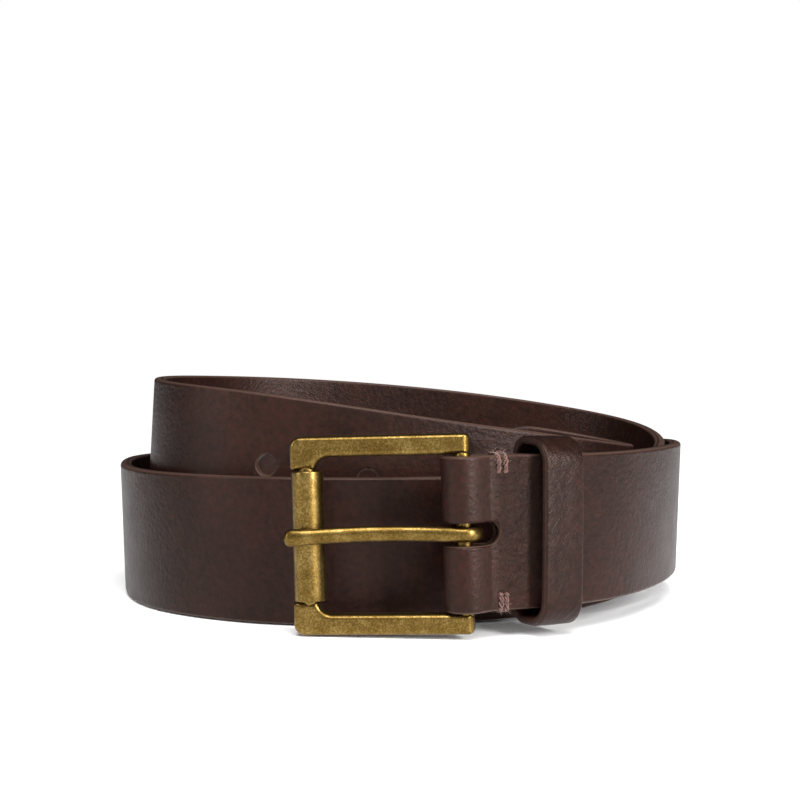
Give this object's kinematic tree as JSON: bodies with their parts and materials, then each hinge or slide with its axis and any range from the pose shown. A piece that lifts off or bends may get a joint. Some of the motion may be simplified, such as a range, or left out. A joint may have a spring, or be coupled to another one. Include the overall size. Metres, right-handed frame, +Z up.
{
  "type": "leather belt",
  "caption": "Coiled men's leather strap belt with a square roller buckle, prong, sewn fold, sliding keeper and round size holes.",
  "frame": {"origin": "centre of the coiled belt's bounding box in plan, at table level", "axes": "+X to the wearer's-view right of the coil, the longest extent; +Y away from the buckle, which faces -Y; +Z up across the strap's width"},
  "size_m": [0.1581, 0.1379, 0.0597],
  "materials": {
    "strap_leather": "dark brown, smooth, semi-gloss",
    "keeper_leather": "dark brown, fine cross-hatched grain",
    "thread": "waxed, frayed",
    "staple_wire": "bright wire",
    "frame_brass": "antiqued, semi-matt",
    "roller_brass": "antiqued, semi-matt",
    "prong_brass": "antiqued, rubbed bright on top"
  },
  "bodies": {
    "strap": {"strap": "strap_leather", "upper_fold_stitch": "thread", "lower_fold_stitch": "thread"},
    "keeper": {"keeper_loop": "keeper_leather", "keeper_staple": "staple_wire"},
    "frame": {"buckle_frame": "frame_brass"},
    "roller": {"roller": "roller_brass"},
    "prong": {"prong": "prong_brass"}
  },
  "joints": [
    {"name": "buckle_swing", "type": "hinge", "parent": "strap", "child": "frame", "pos_m": [0.0145, -0.064, 0.0236], "axis": [-0.0279, 0, 0.9996], "range_deg": [-5, 35]},
    {"name": "prong_pivot", "type": "hinge", "parent": "frame", "child": "prong", "pos_m": [0.0145, -0.064, 0.0236], "axis": [-0.0279, 0, 0.9996], "range_deg": [0, 70]},
    {"name": "roller_spin", "type": "hinge", "parent": "frame", "child": "roller", "pos_m": [-0.02082, -0.05966, 0.02261], "axis": [-0.0279, 0, 0.9996], "continuous": true},
    {"name": "keeper_slide", "type": "slide", "parent": "strap", "child": "keeper", "axis": [0.8789, 0.4768, -0.014], "range_m": [-0.002, 0.002]}
  ]
}
